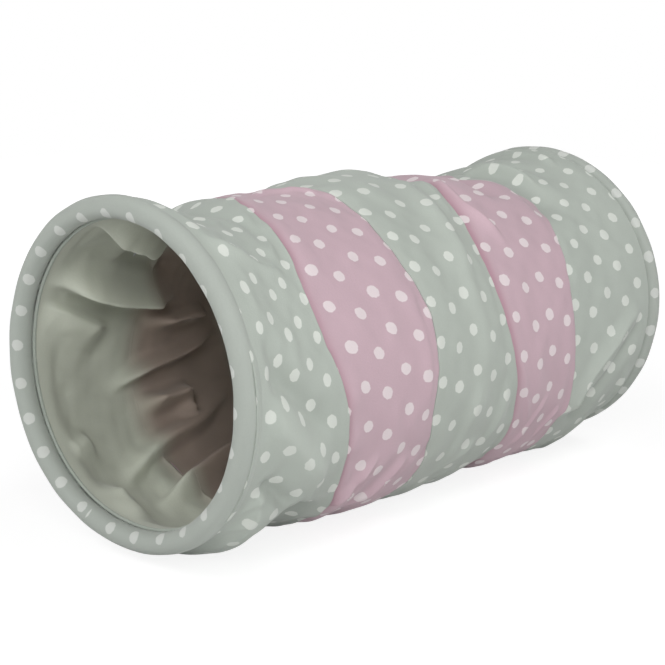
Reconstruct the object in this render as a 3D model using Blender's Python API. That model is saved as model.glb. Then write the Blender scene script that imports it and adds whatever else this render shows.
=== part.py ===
# Small pet play tunnel, standing on the floor.
# Two padded hoops carry a double cloth tube of five panels, and a long spring
# wire runs between the outer cloth and the lining.  Metres, +Z up, the tunnel's
# axis along X, its front mouth at -X.  The floor is Z = 0.
#
# The cloth is worked out on the flat first: "run" is the way along the cloth
# from the front hoop, and "turn" is the angle round the tunnel, 0 on top and
# 90 degrees on the side facing -Y.  place_on_cloth() then stands that sheet up
# as the slumped, sheared tube that the spring wire really makes.

import math

import bmesh
import bpy
import numpy as np
from mathutils import Vector

# Hoops and rims
HOOP_RADIUS = 0.117          # hoop wire's centre line
HOOP_WIRE = 0.0030           # diameter
HOOP_END_GAP = 0.0008        # between the wire's two ends, inside the sleeve
SLEEVE_LENGTH = 0.024        # crimped sleeve over the hoop's joint
SLEEVE_WALL = 0.0006
SLEEVE_SPLIT = 0.0008        # the sleeve is rolled from strip and stays open this much
RIM_TUBE_RADIUS = 0.008      # outside of the padded rim, from the hoop wire's centre
RIM_COVER_WALL = 0.0010
RIM_SLIT = 0.0012            # gap between the cover's two edges, where the tunnel's cloth is sewn on
PIPING_DIAMETER = 0.0028
PIPING_TURN = math.radians(140)   # where the piping lies on the rim, 180 is the mouth's inside
RIM_LIFT = 0.0050            # the tube sags to the floor between its rims, which stay this far off it
FRONT_LEAN = (0.0015, 0.0024)  # the front hoop leans: it lies this far forward on top, and at -Y
FRONT_PRESS = 0.0036         # and its foot is pressed in this much
FRONT_FOOT = math.radians(186)
FRONT_FOOT_WIDTH = math.radians(32)

# Cloth panels, front to rear, measured along the cloth
LENGTH = 0.480               # from one hoop wire to the other
PANEL_PARTS = (97.3, 94.8, 93.6, 88.8, 105.5)  # each panel's part of the length
PANEL_NAMES = ("front_grey", "front_pink", "middle_grey", "rear_pink", "rear_grey")
OUTER_WALL = 0.0012
LINING_WALL = 0.0010
RIM_STEP = 0.0011            # the cloth stays this much below the rim's outside
TUCK_END = 0.026             # it rises to there from the rim's side over this length
LINING_FLARE = 0.026         # the lining widens over this length behind each rim

# How the tube stands: it sinks on its floor side, and its seams lean
SLUMP = 0.0100               # drop of the cloth's centre between the hoops
SLUMP_START = 0.012          # the cloth follows the round hoop this far
SLUMP_END = 0.066
FOLD_START = 0.008           # folds begin this far behind each hoop
FOLD_END = 0.028             # and have their full height from here on
SEAM_LEANS = (0.0060, 0.0217, 0.0232, 0.0054)  # how far each seam is shifted forward on top
SEAM_YAWS = (0.0159, 0.0096, 0.0056, 0.0016)   # and on the side facing -Y
SEAM_BOWS = (0.0061, -0.0014, 0.0116, 0.0146)  # its sides lie forward of its top and bottom
SEAM_SKEWS = (0.0120, -0.0066, 0.0, -0.0033)   # its upper near quarter lies forward

# Spring wire
SPIRAL_WIRE = 0.0025
SPIRAL_PITCH = LENGTH / 3    # along the cloth, per turn
SPIRAL_FIRST_TOP = SPIRAL_PITCH * 0.65        # where it first passes over the top, towards -Y
SPIRAL_MARGIN = 0.020        # from each hoop to the wire's end
SPIRAL_HOLD = 0.016          # cloth this near the wire can't fold inwards
SPIRAL_PLAY = 0.0016         # spare room between the wire and the lining
CAP_LENGTH = 0.010
CAP_WALL = 0.0008
CAP_BORE_DEPTH = 0.008
CAP_DOME = ((0.80, 1.0), (0.95, 0.7), (1.0, 0.0))   # shares of the cap's length and radius

CLEARANCE = 0.0003           # between pieces that touch

# Mesh fineness
RING_STEPS = 48              # columns round the rims and the outer cloth
SPIRAL_STEPS = 24            # points in each turn of the spring wire, and columns of the lining
PANEL_ROWS = (5, 4, 4, 4, 6)
WIRE_SIDES = 6
SECTION_POINTS = 9           # along the outside, and along the bore, of a rim's section
SLEEVE_STEPS = 5
CAP_SIDES = 10
SMOOTH_ANGLE = math.radians(40)

# Main folds of the cloth: where each one starts and ends (run in panels, so
# 1.25 is a quarter of the way across the second panel, and turn in degrees),
# its height (outwards is positive) and its half width, in metres.
FOLDS = (
    ((0.28, -40), (0.30, 14), -0.0100, 0.014),    # the cloth dips behind the front rim on top
    ((0.64, -75), (0.62, 8), -0.0090, 0.017),     # and again in front of the first seam
    ((2.38, -60), (2.38, 10), 0.0060, 0.036),     # long rise on top of the middle panel
    ((2.86, -60), (2.84, -13), 0.0066, 0.030),    # up to the high ridge over the third seam
    ((3.10, -20), (3.14, 6), -0.0035, 0.014),     # hollows on top of the rear pink panel
    ((3.56, -40), (3.66, 4), -0.0050, 0.022),
    ((3.96, -50), (4.10, 38), -0.0080, 0.018),    # sunk cloth behind the last seam, on top
    ((4.27, -5), (4.31, 40), 0.0025, 0.010),      # ridge behind the sunk seam
    ((3.30, 10), (3.28, 46), 0.0020, 0.010),      # small ridge on the rear pink panel
    ((0.11, 36), (0.76, 48), 0.0025, 0.008),      # crease that runs back from the front rim
    ((0.30, 24), (0.62, 24), -0.0030, 0.012),     # hollow above that crease
    ((0.25, 74), (0.47, 87), -0.0025, 0.009),     # shallow hollow on the front panel's side
    ((0.33, 132), (0.33, 215), 0.0045, 0.014),    # pouch behind the front rim, at the bottom
    ((0.66, 138), (0.58, 165), -0.0095, 0.014),   # kink behind the pouch
    ((0.82, 140), (0.84, 222), -0.0095, 0.014),   # pinched cloth in front of the first seam
    ((1.04, 152), (1.06, 215), -0.0045, 0.014),   # and behind it
    ((1.42, 150), (1.46, 200), -0.0025, 0.018),
    ((1.14, 137), (1.56, 118), 0.0020, 0.008),    # two drag folds, low on the front pink panel
    ((1.44, 144), (1.83, 126), 0.0020, 0.008),
    ((2.85, 15), (2.52, 128), 0.0028, 0.012),     # soft crease down the middle panel
    ((3.00, 145), (3.02, 215), -0.0035, 0.020),   # the third seam draws in, low down
    ((4.68, 91), (4.02, 126), 0.0040, 0.007),     # slanting fold from the rear rim
    ((4.78, 97), (4.14, 134), -0.0045, 0.008),    # hollow under that fold
    ((4.62, -60), (4.62, 2), -0.0050, 0.024),     # hollow on top, in front of the rear rim
    ((4.58, 162), (4.58, 200), 0.0050, 0.026),    # rear panel swelling at the floor
)

RIM_RADIUS = HOOP_RADIUS + RIM_TUBE_RADIUS
AXIS_HEIGHT = RIM_RADIUS + RIM_LIFT
CLOTH_RADIUS = RIM_RADIUS - RIM_STEP
TUCK_RADIUS = HOOP_RADIUS + OUTER_WALL / 2
PANEL_START = RIM_TUBE_RADIUS + CLEARANCE
RUN_MARKS = np.concatenate(([0.0], np.cumsum(PANEL_PARTS))) * LENGTH / sum(PANEL_PARTS)
SEAMS = tuple(RUN_MARKS[1:-1])
LAYER_GAP = SPIRAL_WIRE + CLEARANCE + SPIRAL_PLAY
SLEEVE_BORE = HOOP_WIRE / 2 + CLEARANCE
SLEEVE_RADIUS = SLEEVE_BORE + SLEEVE_WALL
CAP_BORE = SPIRAL_WIRE / 2 + CLEARANCE
CAP_RADIUS = CAP_BORE + CAP_WALL

GREY = (0.402, 0.440, 0.392)
PINK = (0.571, 0.407, 0.462)
GREY_LINING = (0.330, 0.345, 0.310)
PINK_LINING = (0.420, 0.330, 0.340)
STEEL = (0.560, 0.570, 0.580)
FOAM = (0.800, 0.790, 0.740)
RUBBER = (0.050, 0.050, 0.052)

# Finishes: colour, roughness and how metallic
GREY_CLOTH = (GREY, 0.9, 0.0)
PINK_CLOTH = (PINK, 0.9, 0.0)
GREY_BACKING = (GREY_LINING, 0.9, 0.0)
PINK_BACKING = (PINK_LINING, 0.9, 0.0)
SPRING_STEEL = (STEEL, 0.35, 1.0)
SLEEVE_STEEL = (STEEL, 0.45, 1.0)
SOFT_FOAM = (FOAM, 0.95, 0.0)
SOFT_RUBBER = (RUBBER, 0.6, 0.0)


def ease(value):
    """0 below 0, 1 above 1 and a smooth S between them."""
    t = np.clip(value, 0.0, 1.0)
    return t * t * (3 - 2 * t)


def cloth_depth_along(run):
    """How far along its drop the cloth is: 0 at both hoops, 1 between them."""
    nearest = np.minimum(run, LENGTH - run)
    return ease((nearest - SLUMP_START) / (SLUMP_END - SLUMP_START))


def fold_share(run):
    """How much of its folds the cloth has: none at both hoops, all of them between."""
    nearest = np.minimum(run, LENGTH - run)
    return ease((nearest - FOLD_START) / (FOLD_END - FOLD_START))


def station(run, turn):
    """Distance from the front hoop, along the tunnel's straight axis."""
    marks = (SLUMP_START, *SEAMS, LENGTH - SLUMP_START)
    lean, yaw, bow, skew = (np.interp(run, marks, (0.0, *shifts, 0.0))
                            for shifts in (SEAM_LEANS, SEAM_YAWS, SEAM_BOWS, SEAM_SKEWS))
    at_hoop = np.interp(run, marks[:2], (1.0, 0.0))
    lean = lean + at_hoop * FRONT_LEAN[0]
    yaw = yaw + at_hoop * FRONT_LEAN[1]
    shift = bow * np.cos(2 * turn) - skew * np.sin(2 * turn)
    return run - lean * np.cos(turn) - yaw * np.sin(turn) + shift


def hoop_press(run, turn):
    """How far the front hoop's pressed foot draws the cloth in, near that hoop."""
    off_foot = np.arctan2(np.sin(turn - FRONT_FOOT), np.cos(turn - FRONT_FOOT))
    return FRONT_PRESS * np.exp(-(off_foot / FRONT_FOOT_WIDTH) ** 2) * (1 - ease(run / TUCK_END))


def spiral_turn(run):
    """Angle of the spring wire: it passes the top at its first top, then every pitch."""
    return 2 * np.pi * (run - SPIRAL_FIRST_TOP) / SPIRAL_PITCH


def run_off_spiral(run, turn):
    """Distance along the cloth to the nearest turn of the spring wire."""
    behind = (turn - spiral_turn(run)) / (2 * np.pi)
    return np.abs(behind - np.round(behind)) * SPIRAL_PITCH


def fold_height(run, turn):
    """Sum of the folds, each a smooth ridge along a straight line of the flat cloth."""
    height = np.zeros(np.broadcast(run, turn).shape)
    free = 1 - np.exp(-(run_off_spiral(run, turn) / SPIRAL_HOLD) ** 2)
    marks = np.arange(len(RUN_MARKS))
    for start, end, rise, half_width in FOLDS:
        start_run, end_run = np.interp((start[0], end[0]), marks, RUN_MARKS)
        start_turn, end_turn = np.radians((start[1], end[1]))
        middle = (start_turn + end_turn) / 2
        near_turn = turn + 2 * np.pi * np.round((middle - turn) / (2 * np.pi))
        along = np.array((end_run - start_run, (end_turn - start_turn) * CLOTH_RADIUS))
        off_run = run - start_run
        off_turn = (near_turn - start_turn) * CLOTH_RADIUS
        share = np.clip((off_run * along[0] + off_turn * along[1]) / (along @ along), 0, 1)
        distance = np.hypot(off_run - share * along[0], off_turn - share * along[1])
        ridge = rise * np.exp(-(distance / half_width) ** 2)
        height = height + (ridge if rise > 0 else ridge * free)
    return height * fold_share(run)


def cloth_radius(run, turn):
    """Outer cloth's distance from the axis, kept above the floor."""
    drop = SLUMP * cloth_depth_along(run)
    nearest = np.minimum(run, LENGTH - run)
    tuck = (CLOTH_RADIUS - TUCK_RADIUS) * (1 - ease((nearest - PANEL_START) / (TUCK_END - PANEL_START)))
    radius = CLOTH_RADIUS - tuck - hoop_press(run, turn) - drop * np.cos(turn) + fold_height(run, turn)
    downwards = np.maximum(-np.cos(turn), 1e-6)
    return np.minimum(radius, AXIS_HEIGHT / downwards)


def point_at(along, radius, turn):
    """World point from a station, a distance from the axis and an angle."""
    along, radius, turn = np.broadcast_arrays(along, radius, turn)
    return np.stack((along - LENGTH / 2,
                     -radius * np.sin(turn),
                     AXIS_HEIGHT + radius * np.cos(turn)), axis=-1)


def place_on_cloth(run, turn, depth):
    """World point under the outer cloth's surface, depth towards the axis."""
    return point_at(station(run, turn), cloth_radius(run, turn) - depth, turn)


def outer_depth(run, turn):
    """The outer cloth lies at its own surface."""
    return np.zeros(np.broadcast(run, turn).shape)


def panel_rows(index, front_edge, rear_edge):
    """Runs of one panel's rows.  Outer cloth and lining share them, apart from their edges."""
    rows = np.linspace(RUN_MARKS[index], RUN_MARKS[index + 1], PANEL_ROWS[index] + 1)
    rows[0] = front_edge
    rows[-1] = rear_edge
    return rows


def place_between_rows(run, turn, depth):
    """World point at a depth under the panels' flat facets, not under the smooth cloth."""
    rows = [panel_rows(index, RUN_MARKS[index], RUN_MARKS[index + 1])[1:]
            for index in range(len(PANEL_NAMES))]
    rows = np.concatenate(([PANEL_START], *rows))
    after = np.clip(np.searchsorted(rows, run), 1, len(rows) - 1)
    share = ((run - rows[after - 1]) / (rows[after] - rows[after - 1]))[:, None]
    in_front = place_on_cloth(rows[after - 1], turn, depth)
    behind = place_on_cloth(rows[after], turn, depth)
    return in_front * (1 - share) + behind * share


def lining_depth(run, turn):
    """Depth of the lining's outer side: deep at the piping, then just inside the wire."""
    inside = OUTER_WALL + LAYER_GAP
    piping_radius = PIPING_RING_RADIUS - hoop_press(0.0, turn) * (run < LENGTH / 2)
    at_piping = cloth_radius(run, turn) - (piping_radius + LINING_WALL / 2)
    nearest = np.minimum(run, LENGTH - run)
    widened = ease((nearest - LINING_START) / LINING_FLARE)
    return at_piping + (inside - at_piping) * widened


PIPING_REACH = RIM_TUBE_RADIUS + CLEARANCE + PIPING_DIAMETER / 2
PIPING_OFFSET = PIPING_REACH * math.sin(PIPING_TURN)
PIPING_RING_RADIUS = HOOP_RADIUS + PIPING_REACH * math.cos(PIPING_TURN)
LINING_START = PIPING_OFFSET + PIPING_DIAMETER / 2 + CLEARANCE


def material(name, colour, roughness, metallic):
    made = bpy.data.materials.new(name)
    made.use_nodes = True
    shader = made.node_tree.nodes["Principled BSDF"]
    shader.inputs["Base Color"].default_value = (*colour, 1.0)
    shader.inputs["Roughness"].default_value = roughness
    shader.inputs["Metallic"].default_value = metallic
    return made


def holder(name, along):
    """Empty on the tunnel's axis that carries the pieces of one moving group."""
    empty = bpy.data.objects.new(name, None)
    empty.location = (along - LENGTH / 2, 0.0, AXIS_HEIGHT)
    bpy.context.collection.objects.link(empty)
    return empty


def add_mesh(name, points, faces, group, finish):
    """Mesh object from world points, kept in its group's own frame."""
    mesh = bpy.data.meshes.new(name)
    local = np.asarray(points).reshape(-1, 3) - np.array(group.location)
    mesh.from_pydata(local.tolist(), [], faces)
    mesh.validate()
    mesh.shade_smooth()
    mesh.set_sharp_from_angle(angle=SMOOTH_ANGLE)
    piece = bpy.data.objects.new(name, mesh)
    piece.parent = group
    piece.data.materials.append(material(name, *finish))
    bpy.context.collection.objects.link(piece)
    return piece


def add_wire(name, points, diameter, group, finish):
    """Open wire with closed ends along the given world points."""
    curve = bpy.data.curves.new(name, "CURVE")
    curve.dimensions = "3D"
    curve.bevel_depth = diameter / 2
    curve.bevel_resolution = (WIRE_SIDES - 4) // 2
    curve.use_fill_caps = True
    spline = curve.splines.new("POLY")
    spline.points.add(len(points) - 1)
    for spot, point in zip(spline.points, points - np.array(group.location)):
        spot.co = (*point, 1.0)
    piece = bpy.data.objects.new(name, curve)
    piece.parent = group
    curve.materials.append(material(name, *finish))
    bpy.context.collection.objects.link(piece)
    return piece


def tube_faces(rows, columns, closed_round, closed_rows):
    """Quads of a grid whose rows are rings or strips, facing out for rows run front to rear."""
    faces = []
    for row in range(rows if closed_rows else rows - 1):
        for column in range(columns if closed_round else columns - 1):
            here = row * columns + column
            beside = row * columns + (column + 1) % columns
            after = ((row + 1) % rows) * columns + column
            across = ((row + 1) % rows) * columns + (column + 1) % columns
            faces.append((here, beside, across, after))
    return faces


def cloth_tube(name, rows, columns, outside, wall, group, finish):
    """Cloth ring from one seam to the next: outer side, rear edge, inner side, front edge."""
    turn = np.linspace(0, 2 * np.pi, columns, endpoint=False)
    run = rows[:, None]
    depth = outside(run, turn)
    outer = place_on_cloth(run, turn, depth)
    inner = place_on_cloth(run, turn, depth + wall)
    points = np.concatenate((outer, inner[::-1]))
    faces = tube_faces(len(points), columns, True, True)
    return add_mesh(name, points, faces, group, finish)


def c_section(reach, bore, split, facing):
    """Round section with a bore and a slit: outer arc there, inner arc back.
    Points are (along, outwards) from the hoop wire, and facing is +1 where the
    slit looks to the rear, -1 where it looks to the front."""
    half_outer = math.asin(split / 2 / reach)
    half_bore = math.asin(split / 2 / bore)
    middle = math.pi / 2
    outer = np.linspace(middle + half_outer, middle + 2 * math.pi - half_outer, SECTION_POINTS)
    inner = np.linspace(middle + 2 * math.pi - half_bore, middle + half_bore, SECTION_POINTS)
    section = [(facing * reach * math.sin(a), reach * math.cos(a)) for a in outer]
    section += [(facing * bore * math.sin(a), bore * math.cos(a)) for a in inner]
    return section


def round_section(radius, along, outwards, facing):
    """Plain round section, centred off the hoop wire."""
    angles = np.linspace(0, 2 * math.pi, WIRE_SIDES, endpoint=False)
    return [(facing * (along + radius * math.sin(a)), outwards + radius * math.cos(a)) for a in angles]


def swept_ring(name, section, run, group, finish, arc=None):
    """Section carried round a hoop, all the way or over one arc."""
    full = arc is None
    turn = np.linspace(0, 2 * np.pi, RING_STEPS, endpoint=False) if full else arc
    section = np.array(section)
    outwards = HOOP_RADIUS + section[:, 1][:, None] - hoop_press(run, turn)
    points = point_at(station(run, turn) + section[:, 0][:, None], outwards, turn)
    faces = tube_faces(len(section), len(turn), full, True)
    if not full:
        columns = len(turn)
        faces.append(tuple(row * columns for row in range(len(section))))
        faces.append(tuple(row * columns + columns - 1 for row in reversed(range(len(section)))))
    piece = add_mesh(name, points, faces, group, finish)
    turn_faces_out(piece)
    return piece


def turn_faces_out(piece):
    shape = bmesh.new()
    shape.from_mesh(piece.data)
    bmesh.ops.recalc_face_normals(shape, faces=shape.faces)
    shape.to_mesh(piece.data)
    shape.free()


def hoop_and_rim(end, run, facing, group):
    """One end of the tunnel: sprung hoop, sleeve, padding, dotted cover and piping."""
    gap_angle = HOOP_END_GAP / HOOP_RADIUS
    steps = np.linspace(gap_angle / 2, 2 * np.pi - gap_angle / 2, RING_STEPS + 1)
    hoop = point_at(station(run, steps), HOOP_RADIUS - hoop_press(run, steps), steps)
    add_wire(end + "_hoop_wire", hoop, HOOP_WIRE, group, SPRING_STEEL)
    half_sleeve = SLEEVE_LENGTH / 2 / HOOP_RADIUS
    sleeve = c_section(SLEEVE_RADIUS, SLEEVE_BORE, SLEEVE_SPLIT, facing)
    swept_ring(end + "_hoop_sleeve", sleeve, run, group, SLEEVE_STEEL,
               arc=np.linspace(-half_sleeve, half_sleeve, SLEEVE_STEPS))
    padding = c_section(RIM_TUBE_RADIUS - RIM_COVER_WALL - CLEARANCE,
                        SLEEVE_RADIUS + CLEARANCE, RIM_SLIT, facing)
    swept_ring(end + "_rim_padding", padding, run, group, SOFT_FOAM)
    cover = c_section(RIM_TUBE_RADIUS, RIM_TUBE_RADIUS - RIM_COVER_WALL, RIM_SLIT, facing)
    swept_ring(end + "_rim_cover", cover, run, group, GREY_CLOTH)
    piping = round_section(PIPING_DIAMETER / 2, PIPING_OFFSET, PIPING_RING_RADIUS - HOOP_RADIUS, facing)
    swept_ring(end + "_rim_piping", piping, run, group, GREY_CLOTH)


def spiral_depth(run):
    """Depth of the spring wire's centre: just under the cloth, and deeper in its end caps."""
    to_end = np.minimum(run, LENGTH - run) - SPIRAL_MARGIN
    in_cap = 1 - ease(to_end / SPIRAL_MARGIN)
    return OUTER_WALL + CLEARANCE + SPIRAL_WIRE / 2 + in_cap * (CAP_WALL + 2 * CLEARANCE)


def print_least_gap(points, diameter):
    """Least gap between one turn of the wire and the next, measured on its points."""
    least = math.inf
    for index in range(len(points) - SPIRAL_STEPS // 2):
        apart = np.linalg.norm(points[index + SPIRAL_STEPS // 2:] - points[index], axis=1)
        least = min(least, apart.min())
    print(f"spring wire: least gap to itself {1000 * (least - diameter):.1f} mm")


def spring_wire(group):
    """One unbroken wire that winds through the whole tunnel between the two cloths."""
    step = SPIRAL_PITCH / SPIRAL_STEPS
    first = math.ceil((SPIRAL_MARGIN - SPIRAL_FIRST_TOP) / step)
    last = math.floor((LENGTH - SPIRAL_MARGIN - SPIRAL_FIRST_TOP) / step)
    run = SPIRAL_FIRST_TOP + step * np.arange(first, last + 1)
    points = place_between_rows(run, spiral_turn(run), spiral_depth(run))
    add_wire("spiral_wire", points, SPIRAL_WIRE, group, SPRING_STEEL)
    print_least_gap(points, SPIRAL_WIRE)
    return points


def wire_cap(name, tip, before, group):
    """Domed rubber cap over the end of the spring wire, with a blind bore."""
    rings = ((CAP_BORE_DEPTH, 0.0), (CAP_BORE_DEPTH, CAP_BORE), (0.0, CAP_BORE), (0.0, CAP_RADIUS),
             *((CAP_LENGTH * high, CAP_RADIUS * wide) for high, wide in CAP_DOME))
    sides = CAP_SIDES
    shape = bmesh.new()
    loops = []
    for height, radius in rings:
        if radius == 0.0:
            loops.append([shape.verts.new((0.0, 0.0, height))])
            continue
        loops.append([shape.verts.new((radius * math.cos(2 * math.pi * k / sides),
                                       radius * math.sin(2 * math.pi * k / sides), height))
                      for k in range(sides)])
    for low, high in zip(loops, loops[1:]):
        for k in range(sides):
            corners = [low[k % len(low)], low[(k + 1) % len(low)],
                       high[(k + 1) % len(high)], high[k % len(high)]]
            shape.faces.new(list(dict.fromkeys(corners)))
    bmesh.ops.recalc_face_normals(shape, faces=shape.faces)
    mesh = bpy.data.meshes.new(name)
    shape.to_mesh(mesh)
    shape.free()
    mesh.shade_smooth()
    mesh.set_sharp_from_angle(angle=SMOOTH_ANGLE)
    mesh.materials.append(material(name, *SOFT_RUBBER))
    cap = bpy.data.objects.new(name, mesh)
    direction = Vector(tip - before).normalized()
    mouth = Vector(tip) - direction * (CAP_BORE_DEPTH - CLEARANCE)
    cap.parent = group
    cap.location = mouth - group.location
    cap.rotation_mode = "QUATERNION"
    cap.rotation_quaternion = direction.to_track_quat("Z", "Y")
    bpy.context.collection.objects.link(cap)


def cloth_panels():
    """Five outer panels and five lining panels, each ring cut from seam to seam."""
    last = len(PANEL_NAMES) - 1
    for index, name in enumerate(PANEL_NAMES):
        front_seam = RUN_MARKS[index] + CLEARANCE / 2
        rear_seam = RUN_MARKS[index + 1] - CLEARANCE / 2
        group = holder(name + "_group", (front_seam + rear_seam) / 2)
        outer_finish, inner_finish = ((PINK_CLOTH, PINK_BACKING) if "pink" in name
                                      else (GREY_CLOTH, GREY_BACKING))
        outer_rows = panel_rows(index, PANEL_START if index == 0 else front_seam,
                                LENGTH - PANEL_START if index == last else rear_seam)
        lining_rows = panel_rows(index, LINING_START if index == 0 else front_seam,
                                 LENGTH - LINING_START if index == last else rear_seam)
        cloth_tube(name + "_panel", outer_rows, RING_STEPS, outer_depth, OUTER_WALL,
                   group, outer_finish)
        cloth_tube(name + "_lining", lining_rows, SPIRAL_STEPS, lining_depth, LINING_WALL,
                   group, inner_finish)


def build_tunnel():
    for old in list(bpy.data.objects):
        bpy.data.objects.remove(old, do_unlink=True)
    front_end = holder("front_end", 0.0)
    rear_end = holder("rear_end", LENGTH)
    hoop_and_rim("front", 0.0, 1, front_end)
    hoop_and_rim("rear", LENGTH, -1, rear_end)
    cloth_panels()
    wire = spring_wire(rear_end)
    wire_cap("front_wire_cap", wire[0], wire[1], front_end)
    wire_cap("rear_wire_cap", wire[-1], wire[-2], rear_end)


build_tunnel()
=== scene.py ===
import math

import bpy
import numpy as np
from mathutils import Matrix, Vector


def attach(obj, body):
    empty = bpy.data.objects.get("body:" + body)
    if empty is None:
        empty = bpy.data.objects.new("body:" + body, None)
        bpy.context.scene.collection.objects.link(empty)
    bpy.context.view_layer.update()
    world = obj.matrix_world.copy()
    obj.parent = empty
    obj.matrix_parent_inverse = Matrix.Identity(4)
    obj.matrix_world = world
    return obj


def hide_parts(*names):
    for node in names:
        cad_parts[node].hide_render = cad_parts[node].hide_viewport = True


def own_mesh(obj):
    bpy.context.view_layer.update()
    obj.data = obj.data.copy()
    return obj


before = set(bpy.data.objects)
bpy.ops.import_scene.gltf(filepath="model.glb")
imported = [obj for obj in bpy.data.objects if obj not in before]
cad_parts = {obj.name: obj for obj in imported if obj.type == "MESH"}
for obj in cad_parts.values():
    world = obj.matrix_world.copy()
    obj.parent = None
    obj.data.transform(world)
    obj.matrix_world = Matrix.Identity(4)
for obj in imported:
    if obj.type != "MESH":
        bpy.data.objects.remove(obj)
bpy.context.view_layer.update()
print("frame:", len(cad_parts), "solids")

# The tunnel's sizes, in metres, repeated from the part's source
tunnel = {
    "length": 0.48,   # along the cloth, hoop to hoop
    "hoopRadius": 0.117,
    "rimTube": 0.008,   # radius of the padded rim's own section
    "axisHeight": 0.13,
    "clothRadius": 0.1239,
    "slump": 0.01,   # the cloth's centre sinks this far between the hoops
    "slumpRamp": (0.012, 0.066),   # where it starts to sink, and where it has sunk
    "foldRamp": (0.008, 0.028),   # folds begin here and have their full height from there on
    "leans": (0.006, 0.0217, 0.0232, 0.0054),   # how far each seam is shifted forward on top
    "yaws": (0.0159, 0.0096, 0.0056, 0.0016),   # and on the side facing -Y
    "bows": (0.0061, -0.0014, 0.0116, 0.0146),   # its sides lie forward of its top and bottom
    "skews": (0.012, -0.0066, 0.0, -0.0033),   # its upper near quarter lies forward
    "frontLean": 0.0015, "frontYaw": 0.0024,   # the front hoop's own lean
    "press": 0.0036, "foot": math.radians(186), "footWidth": math.radians(32),   # and its pressed foot
    "tuckRadius": 0.1176, "tuckRamp": (0.0083, 0.026),   # the cloth is sewn low on the rim's side
}
panels = {
    "names": ("front_grey", "front_pink", "middle_grey", "rear_pink", "rear_grey"),
    "parts": (97.3, 94.8, 93.6, 88.8, 105.5),
    "outerWall": 0.0012, "liningWall": 0.001,
    "gap": 0.0044,   # between the outer cloth and the lining
    "joins": (200, 204, 197, 202, 199),   # degrees, where each strip of cloth is sewn into a ring
    "liningJoinShift": -12,   # degrees from there to the lining's
    # each seam wavers: its shift, height and number of waves, and the angle of a crest in degrees
    "wavers": ((0.0028, 0.0025, 6, 96), (0.0021, 0.0025, 6, 76),
               (0.0046, 0.0027, 4, 108), (0.0012, 0.0018, 5, 112)),
    # places where a seam strays further: the seam, turn and half width in degrees, and the shift
    "strays": ((4, 35, 9, 0.008), (4, 6, 16, -0.024), (3, 14, 9, 0.005)),
    # how far the cloth dips at each seam (or stands up, where negative) and over what distance, before it
    # and then behind it
    "dips": ((-0.0018, 0.006, 0.0026, 0.006), (0.001, 0.0012, 0.0006, 0.0016),
             (-0.001, 0.005, 0.002, 0.005), (0.0002, 0.0012, 0.0, 0.004)),
    "liningRoom": (0.0044, 0.0032),   # the lining keeps clear of those edges: how far, over what distance
    "paintedSeamShade": 0.005,   # reach of the painted shade beside a pink panel's front seam
    "seamGap": 0.00012,
    "rimEdge": 0.0008,   # from the hoop wire to the cloth's edge, hidden in the rim
    "hem": (0.0005, 0.0026, 4),   # the rows turned in at a seam: first and last depth, and their number
    "hemSlope": 0.15,
    "columns": 384, "liningColumns": 432,
    "seamRows": (0.0, 0.25, 0.6, 1.0, 1.5, 2.2, 3.2, 4.6),   # millimetres from a seam, where rows lie close
    "rimRows": (0.015, 37),   # depth of the close rows beside a rim, and their number
    "rowStep": 0.0018, "rowMargin": 0.0016,
}
spring = {
    "wire": 0.0025, "pitch": 0.16, "firstTop": 0.104, "margin": 0.02,
    "capWall": 0.0008, "clearance": 0.0003, "points": 280, "sides": 12,
    "hold": 0.016,   # cloth this near the wire can't sink
    "anchor": 0.232,   # place on the axis that the wire is pressed towards
}

marks = np.concatenate(([0.0], np.cumsum(panels["parts"]))) * tunnel["length"] / sum(panels["parts"])

# Folds: the points of each one's line (run in panels, then turn in degrees, 0 on top and 90 on the side that
# faces -Y), its height and its half widths in millimetres: first that of the lower side where the line goes
# rearwards, of the front side where it goes down. The main folds are the solids', shorter at the flap.
mainFolds = (
    ((0.28, -40, 0.3, 14), -10, 14),
    ((0.64, -75, 0.62, 8), -9, 17),
    ((2.38, -60, 2.38, 10), 6, 36),
    ((2.86, -60, 2.84, -13), 6.6, 30),
    ((3.1, -20, 3.14, 6), -3.5, 14),
    ((3.56, -40, 3.66, 4), -5, 22),
    ((3.96, -50, 4.1, 38), -8, 18),
    ((4.27, -5, 4.31, 40), 2.5, 10),
    ((3.3, 10, 3.28, 46), 2, 10),
    ((0.11, 36, 0.76, 48), 2.5, 8),
    ((0.3, 24, 0.62, 24), -3, 12),
    ((0.25, 74, 0.47, 87), -2.5, 9),
    ((0.33, 132, 0.33, 215), 4.5, 14),
    ((0.66, 138, 0.58, 165), -9.5, 14),
    ((0.82, 140, 0.84, 222), -9.5, 14),
    ((1.04, 152, 1.06, 215), -4.5, 14),
    ((1.42, 150, 1.46, 200), -2.5, 18),
    ((1.14, 137, 1.56, 118), 2, 8),
    ((1.44, 144, 1.83, 126), 2, 8),
    ((2.85, 15, 2.52, 128), 2.8, 12),
    ((3.0, 145, 3.02, 215), -3.5, 20),
    ((4.68, 91, 4.12, 121), 3.4, 8),
    ((4.78, 97, 4.24, 129), -4.5, 8),
    ((4.62, -60, 4.62, 2), -5, 24),
    ((4.58, 162, 4.58, 200), 5, 26),
)
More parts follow.
